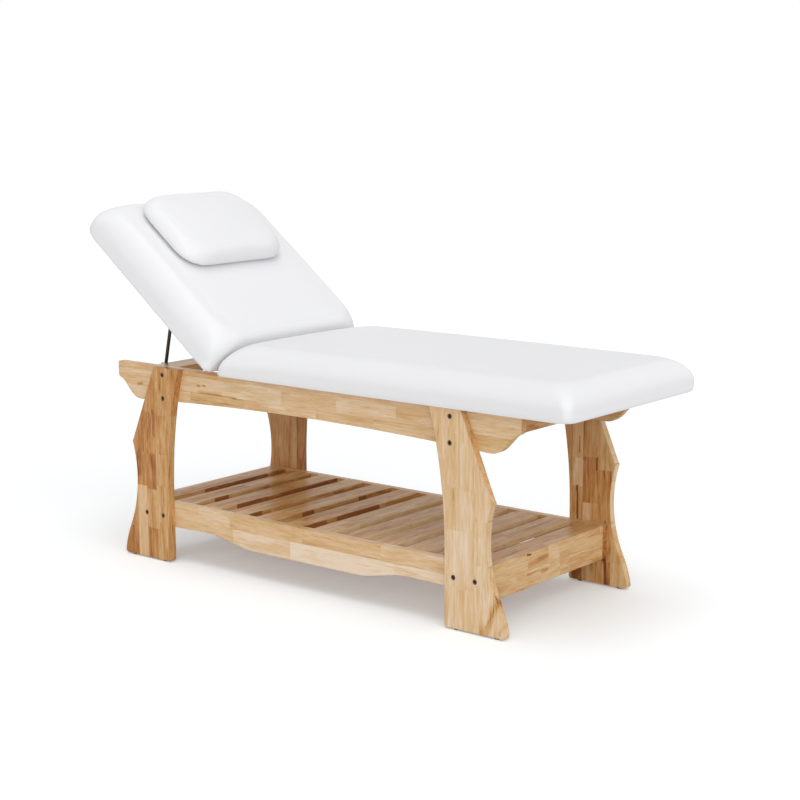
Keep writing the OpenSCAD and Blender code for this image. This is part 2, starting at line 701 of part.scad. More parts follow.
// Brackets: a flange in the board's top and a lug that holds the pin
lug_t = 3;
lug_r = 10;
lug_y = prop_span / 2 + rod_r + over;
flange_mid_y = lug_y + flange_w / 2;
function flange_screw_x(k) = board_head_x + flange_len * (0.3 + 0.45 * k);
module prop_bracket() {
    difference() {
        union() {
            block([pivot_x - lug_r, lug_y, deck_h - flange_t],
                [board_head_x + flange_len, lug_y + flange_w, deck_h]);
            block([pivot_x - lug_r, lug_y, pivot_z],
                [board_head_x - clear, lug_y + lug_t, deck_h - flange_t]);
            rod_y(pivot_x, pivot_z, lug_y, lug_t, lug_r);
        }
        block([pivot_x - lug_r - over, lug_y + lug_t, deck_h - flange_t - over],
            [board_head_x - clear, lug_y + flange_w + over, deck_h + over]);
        block([board_head_x - clear, lug_y - over, pivot_z - lug_r * 2],
            [board_head_x + flange_len, lug_y + flange_w, deck_h - flange_t]);
        rod_y(pivot_x, pivot_z, lug_y - over, lug_t + over * 2, pin_r + run);
        for (k = [0, 1])
            translate([flange_screw_x(k), flange_mid_y, deck_h - flange_t - over])
                cylinder(h = flange_t + over * 2, r = leaf_hole_r, $fn = 24);
    }
}
module prop_bracket_near() { color(steel_c) place() flip_y() prop_bracket(); }
module prop_bracket_far() { color(steel_c) place() prop_bracket(); }
pin_head_t = 2.5;
pin_y = prop_span / 2 - rod_r - over;
module prop_pins() {
    color(steel_c) place() for (sy = [-1, 1]) {
        rod_y(pivot_x, pivot_z, sy > 0 ? pin_y : -lug_y - lug_t, lug_y + lug_t - pin_y, pin_r);
        rod_y(pivot_x, pivot_z, sy > 0 ? lug_y + lug_t : -lug_y - lug_t - pin_head_t,
            pin_head_t, pin_r + over * 2);
        rod_y(pivot_x, pivot_z, sy > 0 ? pin_y - pin_head_t : -pin_y, pin_head_t,
            pin_r + over * 2);
    }
}
module bracket_screws() {
    color(dark_c) place() for (sy = [-1, 1], k = [0, 1])
        translate([flange_screw_x(k), sy * flange_mid_y, deck_h - screw_len])
            cylinder(h = screw_len, r = screw_r, $fn = 24);
}

// Socket bolts through the legs into rails and aprons, with cap nuts inside
hex_d = 7;
hex_deep = 5;
nut_h = 5;
nut_r = 6.5;
module bolt() {
    difference() {
        union() {
            rod_y(0, 0, leg_out_y - well_d, head_h, head_d / 2);
            rod_y(0, 0, rail_in_y - nut_h / 2, leg_out_y - well_d - rail_in_y + nut_h / 2,
                shank_d / 2);
        }
        rod_y(0, 0, leg_out_y - well_d + head_h - hex_deep, hex_deep + over, hex_d / 2, 6);
    }
}
module all_bolts() {
    for (sx = [-1, 1], sy = [-1, 1], p = bolt_places())
        translate([sx * p[0], 0, p[1]]) mirror([0, sy > 0 ? 0 : 1, 0]) children();
}
module leg_bolts() { color(dark_c) place() all_bolts() bolt(); }
module nut() {
    difference() {
        rod_y(0, 0, rail_in_y - nut_h, nut_h, nut_r);
        rod_y(0, 0, rail_in_y - nut_h / 2, nut_h, shank_d / 2 + run);
    }
}
module leg_nuts() { color(dark_c) place() all_bolts() nut(); }

// Glides, two under each leg
glide_in = 38;
module glides() {
    color(dark_c) place() for (sx = [-1, 1], sy = [-1, 1],
        x = [leg_in + glide_in, leg_toe - glide_in])
        translate([sx * x, sy * (leg_out_y - board_t / 2), 0])
            cylinder(h = glide_h, r = glide_d / 2, $fn = 48);
}

leg_head_near();
leg_head_far();
leg_foot_near();
leg_foot_far();
side_rail_near();
side_rail_far();
foot_cross_rail();
head_cross_board();
hinge_cross_rail();
seat_cross_rail();
shelf_apron_near();
shelf_apron_far();
shelf_end_head();
shelf_end_foot();
shelf_bearer();
shelf_cleat_near();
shelf_cleat_far();
slat(1);  // slat_01
slat(2);  // slat_02
slat(3);  // slat_03
slat(4);  // slat_04
slat(5);  // slat_05
slat(6);  // slat_06
slat(7);  // slat_07
slat(8);  // slat_08
slat(9);  // slat_09
slat(10);  // slat_10
slat(11);  // slat_11
slat(12);  // slat_12
seat_board();
seat_cushion();
back_board();
back_cushion();
pillow();
back_batten();
hinge_leaves_frame();
hinge_leaves_back();
hinge_pins();
prop_frame();
prop_bracket_near();
prop_bracket_far();
prop_pins();
leg_bolts();
leg_nuts();
glides();
hinge_screws();
back_hinge_screws();
bracket_screws();
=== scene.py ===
# Spa treatment bed: lacquered timber frame with a slatted shelf, white vinyl cushions, and a
# back that lifts on a bent steel prop.
import json
import math
import random

import bmesh
import bpy
from mathutils import Matrix, Vector
from mathutils.bvhtree import BVHTree


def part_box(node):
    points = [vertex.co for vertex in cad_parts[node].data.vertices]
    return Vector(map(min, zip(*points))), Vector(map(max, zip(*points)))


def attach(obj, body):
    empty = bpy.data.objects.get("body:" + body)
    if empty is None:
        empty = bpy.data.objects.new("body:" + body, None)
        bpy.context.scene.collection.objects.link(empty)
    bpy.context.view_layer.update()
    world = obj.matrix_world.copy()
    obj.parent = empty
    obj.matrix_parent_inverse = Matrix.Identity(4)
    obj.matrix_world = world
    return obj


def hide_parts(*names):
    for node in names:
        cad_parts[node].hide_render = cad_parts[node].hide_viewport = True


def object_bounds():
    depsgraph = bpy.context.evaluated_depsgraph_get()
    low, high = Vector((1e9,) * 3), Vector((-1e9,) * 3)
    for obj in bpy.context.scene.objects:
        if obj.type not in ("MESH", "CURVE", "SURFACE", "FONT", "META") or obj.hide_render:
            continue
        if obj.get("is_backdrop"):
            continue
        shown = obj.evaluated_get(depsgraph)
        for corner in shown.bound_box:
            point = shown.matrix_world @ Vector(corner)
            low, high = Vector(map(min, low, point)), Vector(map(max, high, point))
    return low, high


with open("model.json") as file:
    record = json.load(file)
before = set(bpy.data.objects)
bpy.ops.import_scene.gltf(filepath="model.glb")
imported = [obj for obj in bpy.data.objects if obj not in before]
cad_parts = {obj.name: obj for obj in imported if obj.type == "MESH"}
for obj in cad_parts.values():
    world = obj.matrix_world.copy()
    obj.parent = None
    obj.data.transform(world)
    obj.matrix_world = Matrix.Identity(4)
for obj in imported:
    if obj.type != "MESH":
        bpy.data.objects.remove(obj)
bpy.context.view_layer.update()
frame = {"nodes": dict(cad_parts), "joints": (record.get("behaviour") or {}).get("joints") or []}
nodes = frame["nodes"]

# Studio. The bed is seen from beyond its near foot corner through a long lens, a little
# above the cushions, on a pale floor in even light, with a soft shadow under the shelf.
azimuth, elevation, roll = (math.radians(a) for a in (38.941, 10.235, -0.246))
eye = Vector((3.656956, -4.4029, 1.62))
focal_px, frame_px, sensor = 1763.0, 800, 36.0
behind = Vector((math.sin(azimuth) * math.cos(elevation),
                 -math.cos(azimuth) * math.cos(elevation), math.sin(elevation)))
level = Vector((math.cos(azimuth), math.sin(azimuth), 0))
upward = behind.cross(level)
right = level * math.cos(roll) + upward * math.sin(roll)
above = upward * math.cos(roll) - level * math.sin(roll)
lens = bpy.data.cameras.new("viewpoint")
lens.sensor_width = sensor
lens.lens = focal_px / frame_px * sensor
lens.clip_end = 80
viewpoint = bpy.data.objects.new("viewpoint", lens)
viewpoint.matrix_world = (Matrix.Translation(eye)
                          @ Matrix((right, above, behind)).transposed().to_4x4())
bpy.context.scene.collection.objects.link(viewpoint)
bpy.context.scene.camera = viewpoint
bpy.context.scene.view_settings.view_transform = "Standard"


class Signal:
    """A shader socket. Arithmetic on it adds Math nodes; node() adds any other node."""

    def __init__(self, tree, socket=None):
        self.tree, self.socket = tree, socket

    def node(self, kind, settings=None, values=None, out=0):
        """A node with settings and input values, by one of its outputs. In the settings, stops
        are those of a colour ramp and steps is its interpolation."""
        made = self.tree.nodes.new("ShaderNode" + kind)
        for key, value in (settings or {}).items():
            if key == "stops":
                ramp = made.color_ramp
                while len(ramp.elements) < len(value):
                    ramp.elements.new(1)
                for stop, (place, colour) in zip(ramp.elements, value):
                    stop.position = place
                    stop.color = (*colour, 1)
            elif key == "steps":
                made.color_ramp.interpolation = value
            else:
                setattr(made, key, value)
        for key, value in (values or {}).items():
            socket = made.inputs[key]
            if isinstance(value, Signal):
                self.tree.links.new(value.socket, socket)
            elif socket.type == "RGBA" and len(value) == 3:
                socket.default_value = (*value, 1)
            else:
                socket.default_value = value
        return Signal(self.tree, made.outputs[out] if len(made.outputs) else None)

    def maths(self, operation, *values):
        return self.node("Math", {"operation": operation}, dict(enumerate(values)))

    def blend(self, first, second, how="MIX"):
        """Two colours mixed, with this value as the share of the second."""
        return self.node("Mix", {"data_type": "RGBA", "blend_type": how},
                         {0: self, 6: first, 7: second}, 2)

    def step(self, low, high):
        """0 to 1 as this value goes smoothly from low to high."""
        return self.node("MapRange", {"interpolation_type": "SMOOTHSTEP"},
                         {0: self, 1: low, 2: high})

    def noise(self, coordinates, detail, **more):
        """Noise over three coordinates, each stretched beforehand."""
        vector = self.node("CombineXYZ", values=dict(enumerate(coordinates)))
        return self.node("TexNoise", values={"Vector": vector, "Scale": 1.0, "Detail": detail,
                                             **more})

    def banded(self, bands):
        """A colour for each band along this value, the bands being (end, colour)."""
        low, high = bands[0][0] - 0.5, bands[-1][0]
        stops, place = [], 0.0
        for end, colour in bands:
            stops.append((place, colour))
            place = (end - low) / (high - low)
        # a ramp has two stops at least
        return self.node("ValToRGB", {"stops": stops if len(stops) > 1 else stops * 2,
                                      "steps": "CONSTANT"}, {0: (self - low) / (high - low)})

    def relief(self, strength, distance, normal=None):
        """A normal with this value for height, over another normal if one is given."""
        values = {"Strength": strength, "Distance": distance, "Height": self}
        if normal is not None:
            values["Normal"] = normal
        return self.node("Bump", values=values)

    def surface(self, values):
        """Ends a material with a surface of these values."""
        self.node("OutputMaterial", values={0: self.node("BsdfPrincipled", values=values)})

    def __add__(self, other):
        return self.maths("ADD", self, other)

    def __radd__(self, other):
        return self.maths("ADD", other, self)

    def __sub__(self, other):
        return self.maths("SUBTRACT", self, other)

    def __mul__(self, other):
        return self.maths("MULTIPLY", self, other)

    def __truediv__(self, other):
        return self.maths("DIVIDE", self, other)

    def __abs__(self):
        return self.maths("ABSOLUTE", self)


def blank_material(name):
    """An empty material, with a signal to start from and its x, y and z on the object."""
    material = bpy.data.materials.new(name)
    material.use_nodes = True
    material.node_tree.nodes.clear()
    start = Signal(material.node_tree)
    place = start.node("TexCoord", out="Object")
    return material, start, [start.node("SeparateXYZ", values={0: place}, out=k) for k in range(3)]


floor_material, start, _ = blank_material("pale_floor")
seen = start.node("LightPath", out="Is Camera Ray")
floor_tone = start.node("BsdfDiffuse", values={
    "Color": seen.blend((0.84, 0.84, 0.84), (0.835, 0.86, 0.875))})
floor_glow = start.node("Emission", values={"Color": seen.blend((0, 0, 0), (0.23, 0.23, 0.23))})
start.node("OutputMaterial", values={0: start.node("AddShader", values={
    0: floor_tone, 1: floor_glow})})
form = bmesh.new()
bmesh.ops.create_grid(form, x_segments=8, y_segments=8, size=15)
floor_mesh = bpy.data.meshes.new("floor")
form.to_mesh(floor_mesh)
form.free()
floor_mesh.materials.append(floor_material)
floor = bpy.data.objects.new("floor", floor_mesh)
bpy.context.scene.collection.objects.link(floor)
floor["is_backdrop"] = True

room = bpy.data.worlds.new("room")
bpy.context.scene.world = room
room.use_nodes = True
room.node_tree.nodes.clear()
start = Signal(room.node_tree)
background = [start.node("LightPath", out=ray)
              for ray in ("Is Camera Ray", "Is Glossy Ray", "Is Transmission Ray")]
shown = background[0].maths("MAXIMUM", background[0], background[1])
shown = shown.maths("MAXIMUM", shown, background[2])
start.node("OutputWorld", values={0: start.node("Background", values={
    "Color": (1, 1, 1), "Strength": 0.49 + shown * 0.51})})

for title, towards, width, strength in (("key", (0.42, -0.85, 0.25), 34, 0.45),
                                        ("fill", (0.75, -0.45, 0.48), 60, 1.07),
                                        ("top", (0.07, -0.12, 0.98), 42, 0.88)):
    lamp = bpy.data.lights.new(title, "SUN")
    lamp.angle = math.radians(width)
    lamp.energy = strength
    holder = bpy.data.objects.new(title, lamp)
    holder.visible_glossy = title == "key"
    holder.matrix_world = Vector(towards).to_track_quat("Z", "Y").to_matrix().to_4x4()
    bpy.context.scene.collection.objects.link(holder)

# Timber. Every wooden part is glued up from short staves, butted end to end, planed, eased at
# the edges and lacquered to a clear gloss. Tones run from cream at 0 through sand, honey and
# amber to dark heart at 1.
TONES = [(0, (0.80, 0.66, 0.50)), (0.25, (0.70, 0.50, 0.29)), (0.5, (0.61, 0.375, 0.16)),
         (0.75, (0.46, 0.20, 0.048)), (1, (0.20, 0.055, 0.015))]
BLUSH, PORES, JOINTS = (1.0, 0.90, 0.88), (0.25, 0.12, 0.05), (0.22, 0.11, 0.05)
DARKEST = 0.93
END_GRAIN = 0.36
STAVE_WIDTH, STAVE_LENGTHS, TONE_SPREAD = 0.044, (0.17, 0.42), 0.12
ACROSS_BED, ALONG_BED = (-0.35, 0.35), (-0.75, 0.75)


def glued_staves(low, high, ends, seed, tone):
    """Rows of staves across a board: (where the row ends, [(where a stave ends, tone)])."""
    pick = random.Random(seed)
    rows = []
    edge = low - pick.uniform(0, 0.6) * STAVE_WIDTH
    while edge < high:
        edge += STAVE_WIDTH
        staves = []
        place = ends[0] - pick.uniform(0, 0.3)
        while place < ends[1]:
            place += pick.uniform(*STAVE_LENGTHS)
            staves.append((place, tone + pick.uniform(-TONE_SPREAD, TONE_SPREAD)))
        rows.append((edge, staves))
    return rows


def knots(marks, along, side, figure):
    """How strongly a board's knots and streaks show, or None where it has none."""
    shown = None
    for along_a, side_a, along_b, side_b, half, strength in marks:
        run = (along_b - along_a, side_b - side_a)
        size = run[0] ** 2 + run[1] ** 2
        share = (along - along_a) * (run[0] / size) + (side - side_a) * (run[1] / size)
        share = share.maths("MAXIMUM", share, 0.0)
        share = share.maths("MINIMUM", share, 1.0)
        off_along = along - along_a - share * run[0]
        off_side = side - side_a - share * run[1] + (figure - 0.5) * (half * 2.5)
        # drawn out along the grain, its sides wavering with the figure
        apart = along.maths("SQRT", off_along * off_along * 0.35 + off_side * off_side)
        spot = apart.step(half, half * 0.15) * strength
        shown = spot if shown is None else shown.maths("MAXIMUM", shown, spot)
    return shown


def timber(name, grain, across, rows, seed, marks=(), edge_tones_and_painted_light=None, gloss=1.0):
    """Lacquered staves. grain and across are axes, and rows are as glued_staves gives them.
    marks are knots and streaks: (along and across at one end, the same at the other, half
    width, strength). The edge tones are the axis an edge faces and the tones along it, for an
    edge unlike the faces: the stave tones of some edges, and painted shade or painted light on
    others. gloss is the share of the usual lacquer."""
    material, start, axes = blank_material(name)
    pick = random.Random(seed)
    along, side = axes["xyz".index(grain)], axes["xyz".index(across)]
    depth = axes[3 - "xyz".index(grain) - "xyz".index(across)]
    normal = start.node("TexCoord", out="Normal")

    # each stave has a tone, and a chance that shifts its grain
    stave = line = below = None
    for row_end, staves in rows:
        row = along.banded([(end, (tone, pick.random(), 0)) for end, tone in staves])
        if stave is None:
            stave = row
        else:
            stave = side.maths("GREATER_THAN", side, below).blend(stave, row)
            gap = abs(side - below)
            line = gap if line is None else line.maths("MINIMUM", line, gap)
        below = row_end
    tone, chance = (start.node("SeparateColor", values={0: stave}, out=k) for k in range(2))
    if edge_tones_and_painted_light:
        facing, edge_staves = edge_tones_and_painted_light
        turned = start.node("SeparateXYZ", values={0: normal}, out="xyz".index(facing))
        strip = along.banded([(end, (edge_tone,) * 3) for end, edge_tone in edge_staves])
        tone = tone + abs(turned).step(0.5, 0.7) * (strip - tone)
    turned = start.node("SeparateXYZ", values={0: normal}, out="xyz".index(grain))
    tone = tone + abs(turned).step(0.75, 0.95) * END_GRAIN

    # the grain, from the broad figure down to the pores
    shifted = chance * 3.7
    figure = start.noise((along * 4.2 + shifted, side * 30 + shifted * 5, depth * 30), 4.0,
                         Roughness=0.6, Distortion=1.0)
    streak = start.noise((along * 15 - shifted, side * 150, depth * 150), 4.0,
                         Roughness=0.65, Distortion=0.7)
    vein = start.noise((along * 11 + shifted * 3, side * 210, depth * 210), 2.0,
                       Roughness=0.5, Distortion=0.6).step(0.56, 0.70)
    rings = start.maths("SINE", side * 560 + figure * 24 + chance * 40 + depth * 240)
    fibre = start.noise((along * 26, side * 800, depth * 800), 2.0)
    pore = start.noise((along * 90 + shifted, side * 2300, depth * 2300), 1.0).step(0.66, 0.74)
    tone = tone + (figure - 0.5) * 0.85 + (streak - 0.5) * 0.5 + rings * chance * 0.05 \
        + (fibre - 0.5) * 0.22 + vein * 0.18 - 0.04
    tone = tone.maths("MINIMUM", tone, DARKEST)
    shown = knots(marks, along, side, figure)
    if shown is not None:
        tone = tone + shown * (0.15 + streak * 1.5)

    colour = start.node("ValToRGB", {"stops": TONES}, {0: tone})
    blush = start.maths("SINE", chance * 47 + figure * 9) * 0.5 + 0.5
    colour = (blush * 0.4).blend(colour, BLUSH, "MULTIPLY")
    colour = (pore * 0.30).blend(colour, PORES)
    if line is not None:
        colour = (line.step(0.0007, 0.0002) * 0.28).blend(colour, JOINTS)
    eased = start.node("Bevel", {"samples": 4}, {"Radius": 0.003})
    height = fibre * 0.7 - pore * 0.6 + figure * 1.2
    start.surface({"Base Color": colour, "Roughness": 0.34 + fibre * 0.12 + pore * 0.15,
                   "Normal": height.relief(0.22, 0.0002, eased),
                   "Specular IOR Level": 0.25 * gloss, "Coat Weight": 0.2 * gloss,
                   "Coat Roughness": 0.06})
    return material


def dress(node, material):
    """Gives a part of the frame its finish."""
    for slot in nodes[node].material_slots:
        slot.material = material


# Legs: four boards, 25 mm thick, sawn to a horn outside and a long curve inside, their grain
# upright. The head's near leg came from darker stock and the foot's near leg has a burl.
head_near_rows = [
    (-0.785, [(0.105, 0.78), (0.27, 0.70), (0.46, 0.66), (0.70, 0.64)]),
    (-0.738, [(0.252, 0.36), (0.372, 0.73), (0.52, 0.71), (0.70, 0.66)]),
    (-0.690, [(0.108, 0.74), (0.245, 0.58), (0.370, 0.80), (0.515, 0.72), (0.70, 0.66)]),
    (-0.640, [(0.265, 0.60), (0.372, 0.57), (0.510, 0.60), (0.70, 0.68)]),
    (-0.550, [(0.265, 0.68), (0.512, 0.60), (0.70, 0.70)]),
]
dress("leg_head_near", timber("timber_leg_head_near", "z", "x", head_near_rows, seed=11, marks=[
    (0.372, -0.770, 0.300, -0.772, 0.013, 0.16), (0.365, -0.708, 0.262, -0.706, 0.014, 0.10),
    (0.52, -0.700, 0.44, -0.698, 0.008, 0.2), (0.130, -0.672, 0.100, -0.668, 0.008, 0.2)]))
foot_near_rows = [
    (0.560, [(0.70, 0.30)]),
    (0.606, [(0.305, 0.22), (0.438, 0.37), (0.70, 0.36)]),
    (0.658, [(0.13, 0.24), (0.430, 0.24), (0.70, 0.34)]),
    (0.710, [(0.212, 0.24), (0.345, 0.34), (0.70, 0.29)]),
    (0.800, [(0.70, 0.27)]),
]
# The foot's near leg has its edges facing along x darker towards the top: painted shade, for the
# shadow under the seat's overhang.
dress("leg_foot_near", timber("timber_leg_foot_near", "z", "x", foot_near_rows, seed=12,
                              edge_tones_and_painted_light=("x", [(0.30, 0.38), (0.46, 0.44), (0.56, 0.50),
                                                (0.70, 0.64)]), marks=[
    (0.008, 0.696, 0.125, 0.750, 0.019, 0.40), (0.030, 0.702, 0.060, 0.718, 0.009, 0.5),
    (0.072, 0.726, 0.112, 0.744, 0.011, 0.5), (0.020, 0.754, 0.050, 0.768, 0.007, 0.25),
    (0.43, 0.583, 0.33, 0.584, 0.006, 0.2), (0.345, 0.665, 0.215, 0.668, 0.012, 0.12)]))
foot_far_rows = [
    (0.560, [(0.30, 0.60), (0.70, 0.64)]),
    (0.600, [(0.070, 0.96), (0.318, 0.55), (0.412, 0.40), (0.70, 0.50)]),
    (0.630, [(0.205, 0.62), (0.268, 0.36), (0.420, 0.74), (0.70, 0.68)]),
    (0.660, [(0.268, 0.55), (0.420, 0.66), (0.70, 0.64)]),
    (0.710, [(0.080, 0.66), (0.21, 0.60), (0.382, 0.70), (0.70, 0.58)]),
    (0.800, [(0.080, 0.48), (0.70, 0.54)]),
]
dress("leg_foot_far", timber("timber_leg_foot_far", "z", "x", foot_far_rows, seed=13,
                             edge_tones_and_painted_light=("x", [(0.20, 0.50), (0.45, 0.30), (0.70, 0.40)]), marks=[
    (0.088, 0.688, 0.010, 0.694, 0.009, 0.9), (0.318, 0.579, 0.215, 0.581, 0.005, 0.8),
    (0.420, 0.653, 0.385, 0.653, 0.004, 0.7), (0.215, 0.686, 0.165, 0.688, 0.005, 0.4),
    (0.485, 0.585, 0.435, 0.586, 0.004, 0.4), (0.55, 0.607, 0.42, 0.605, 0.012, 0.2)]))
head_far_rows = [
    (-0.690, [(0.70, 0.72)]),
    (-0.655, [(0.70, 0.66)]),
    (-0.620, [(0.70, 0.88)]),
    (-0.560, [(0.30, 0.62), (0.70, 0.40)]),
]
dress("leg_head_far", timber("timber_leg_head_far", "z", "x", head_far_rows, seed=14, marks=[
    (0.55, -0.612, 0.47, -0.610, 0.016, 0.5)]))

# Side rails: long boards bolted inside the legs, arched below and cut to an ogee at each
# end. They carry the cushions, and their grain runs the bed's length.
near_rail_rows = [
    (0.602, [(-0.54, 0.33), (-0.295, 0.56), (-0.19, 0.44), (0.02, 0.32), (0.25, 0.40),
             (0.44, 0.34), (0.62, 0.28), (0.90, 0.40)]),
    (0.655, [(-0.72, 0.34), (-0.40, 0.30), (-0.13, 0.26), (0.10, 0.36), (0.34, 0.28),
             (0.60, 0.38), (0.90, 0.29)]),
    (0.700, [(-0.74, 0.48), (-0.60, 0.38), (-0.42, 0.52), (-0.20, 0.34), (-0.02, 0.44),
             (0.28, 0.30), (0.52, 0.36), (0.90, 0.30)]),
]
dress("side_rail_near", timber("timber_rail_near", "x", "z", near_rail_rows, seed=21, marks=[
    (-0.790, 0.603, -0.778, 0.606, 0.009, 0.5), (-0.503, 0.626, -0.497, 0.626, 0.006, 0.5),
    (-0.478, 0.628, -0.472, 0.628, 0.005, 0.5), (-0.54, 0.668, -0.34, 0.676, 0.006, 0.35),
    (-0.50, 0.606, -0.33, 0.602, 0.006, 0.3)]))
far_rail_rows = [(0.615, [(-0.4, 0.5), (0.1, 0.42), (0.55, 0.5), (0.9, 0.62)]),
                 (0.70, [(-0.55, 0.4), (-0.1, 0.5), (0.4, 0.44), (0.9, 0.55)])]
dress("side_rail_far", timber("timber_rail_far", "x", "z", far_rail_rows, seed=22))

# Cross rails and the head board: short boards between the side rails that keep them apart
# and carry the hinges, the seat's middle and the prop's brackets.
# The foot cross rail's dark tone is painted shade, for the shadow under the seat's foot end; the
# other tones are the wood's own.
cross_tones_and_shade = {"foot_cross_rail": 0.78, "head_cross_board": 0.46, "hinge_cross_rail": 0.5,
               "seat_cross_rail": 0.5}
for k, (node, tone) in enumerate(cross_tones_and_shade.items()):
    low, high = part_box(node)
    wide = "x" if high.x - low.x > high.z - low.z else "z"
    axis = "xyz".index(wide)
    rows = glued_staves(low[axis], high[axis], ACROSS_BED, 30 + k, tone)
    dress(node, timber("timber_" + node, "y", wide, rows, seed=30 + k))

# Shelf: two aprons with a dropped middle and two end rails form a tray; a bearer and two
# cleats hold twelve slats across it, eased and lacquered like the rest.
near_apron_rows = [
    (0.158, [(-0.36, 0.36), (-0.10, 0.22), (0.12, -0.02), (0.33, 0.02), (0.70, 0.08)]),
    (0.230, [(-0.52, 0.28), (-0.37, 0.32), (-0.05, 0.42), (0.28, 0.40), (0.70, 0.32)]),
]
dress("shelf_apron_near", timber("timber_apron_near", "x", "z", near_apron_rows, seed=41))
dress("shelf_apron_far", timber("timber_apron_far", "x", "z", [
    (0.155, [(-0.2, 0.5), (0.3, 0.42), (0.8, 0.5)]),
    (0.230, [(-0.4, 0.42), (0.1, 0.5), (0.8, 0.45)])], seed=42))
foot_end_rows = [
    (0.152, [(-0.19, 0.48), (-0.05, 0.44), (0.05, 0.46), (0.10, 0.54), (0.35, 0.52)]),
    (0.186, [(-0.12, 0.42), (-0.01, 0.52), (0.05, 0.46), (0.35, 0.56)]),
    (0.230, [(-0.10, 0.48), (-0.01, 0.51), (0.135, 0.40), (0.28, 0.54), (0.35, 0.50)]),
]
dress("shelf_end_foot", timber("timber_end_foot", "y", "z", foot_end_rows, seed=43, marks=[
    (-0.120, 0.203, -0.111, 0.200, 0.0065, 1.2), (-0.12, 0.140, -0.02, 0.136, 0.007, 0.3)]))
dress("shelf_end_head", timber("timber_end_head", "y", "z", [
    (0.152, [(-0.1, 0.4), (0.35, 0.36)]), (0.230, [(0.05, 0.38), (0.35, 0.44)])], seed=44))
for k, node in enumerate(["shelf_bearer", "shelf_cleat_near", "shelf_cleat_far"]):
    low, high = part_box(node)
    wide = "y" if node == "shelf_bearer" else "z"
    axis = "xyz".index(wide)
    rows = glued_staves(low[axis], high[axis], ALONG_BED, 50 + k, 0.45)
    dress(node, timber("timber_" + node, "x", wide, rows, seed=50 + k))
# Slats are numbered from the head. The head half is darker, and its slats' sides have the
# tones that show in the gaps, from the near end to the far one. The foot half's slat sides get
# pale tones: painted light, standing in for the light from the foot end that the narrow gaps
# shut out.
HEAD_SLATS, FOOT_SLATS = 0.61, 0.54
gap_tones = {
    1: [(-0.12, 0.62), (0.20, 1.0), (0.35, 0.72)],
    2: [(-0.20, 0.55), (-0.13, 0.95), (0.05, 0.60), (0.35, 0.70)],
    3: [(-0.22, 0.52), (0.35, 1.0)],
    4: [(-0.29, 0.60), (-0.23, 1.0), (0.35, 0.68)],
    5: [(-0.17, 0.60), (-0.11, 1.0), (0.12, 0.66), (0.16, 0.95), (0.35, 0.70)],
    6: [(-0.19, 0.98), (-0.14, 0.80), (0.08, 1.0), (0.35, 0.62)],
}
for k in range(1, 13):
    node = f"slat_{k:02d}"
    low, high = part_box(node)
    rows = glued_staves(low.x, high.x, ACROSS_BED, 60 + k,
                        HEAD_SLATS if k in gap_tones else FOOT_SLATS)
    pick = random.Random(80 + k)
    # pale sides for the foot half: painted light in the gaps
    sides = gap_tones.get(k, [(-0.1 + pick.uniform(-0.1, 0.1), 0.24), (0.35, 0.32)])
    dress(node, timber("timber_" + node, "y", "x", rows, edge_tones_and_painted_light=("x", sides), seed=60 + k,
                       gloss=0.5))

# Boards under the cushions and the batten that rests on the prop: plain plywood with its
# plies showing along the edge, and one rounded strip of the bed's own timber.
ply_material, start, (x, y, z) = blank_material("plywood_sheet")
plies = start.maths("SINE", (z + x * 0.35) * 2400)
ply_grain = start.noise((x * 5, y * 90, z * 260), 3.0)
ply_colour = ply_grain.blend((0.62, 0.45, 0.27), (0.80, 0.65, 0.45))
ply_colour = (plies.step(0.2, 0.9) * 0.25).blend(ply_colour, (0.42, 0.26, 0.13))
start.surface({"Base Color": ply_colour, "Roughness": 0.62 + ply_grain * 0.2,
               "Normal": ply_grain.relief(0.3, 0.0003)})
dress("seat_board", ply_material)
dress("back_board", ply_material)
low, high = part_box("back_batten")
rows = glued_staves(low.x, high.x, (-0.3, 0.3), 90, 0.42)
dress("back_batten", timber("timber_back_batten", "y", "x", rows, seed=90))

# Fixings: dark socket bolts with cap nuts through the legs, steel hinges and screws, a bent
# steel prop on two brackets, and plastic glides under the feet.


def metal(name, colour, rough, grain):
    """Worn steel; grain is how finely it is rubbed along x, y and z."""
    material, start, axes = blank_material(name)
    rub = start.noise([axis * fine for axis, fine in zip(axes, grain)], 3.0)
    place = start.node("TexCoord", out="Object")
    stain = start.node("TexNoise", values={"Vector": place, "Scale": 45.0, "Detail": 2.0})
    shade = stain.step(0.35, 0.7).blend(colour, tuple(c * 0.88 for c in colour))
    eased = start.node("Bevel", {"samples": 4}, {"Radius": 0.0012})
    start.surface({"Base Color": shade, "Metallic": 1.0,
                   "Roughness": rough + rub * 0.16 + stain * 0.05,
                   "Normal": rub.relief(0.12, 0.0001, eased)})
    return material


steel = metal("drawn_steel", (0.42, 0.40, 0.38), 0.24, (300, 300, 40))
dark_steel = metal("blackened_steel", (0.11, 0.085, 0.075), 0.14, (500, 500, 500))
dress("prop_frame", metal("oiled_steel", (0.075, 0.06, 0.045), 0.18, (400, 400, 30)))
for node in ("prop_bracket_near", "prop_bracket_far", "prop_pins",
             "hinge_leaves_frame", "hinge_leaves_back", "hinge_pins", "hinge_screws",
             "back_hinge_screws", "bracket_screws"):
    dress(node, steel)
for node in ("leg_bolts", "leg_nuts"):
    dress(node, dark_steel)
glide_material, start, _ = blank_material("moulded_glide")
place = start.node("TexCoord", out="Object")
scuff = start.node("TexNoise", values={"Vector": place, "Scale": 260.0, "Detail": 3.0})
start.surface({"Base Color": scuff.blend((0.10, 0.075, 0.055), (0.17, 0.13, 0.10)),
               "Roughness": 0.5 + scuff * 0.2, "Normal": scuff.relief(0.2, 0.0002)})
dress("glides", glide_material)

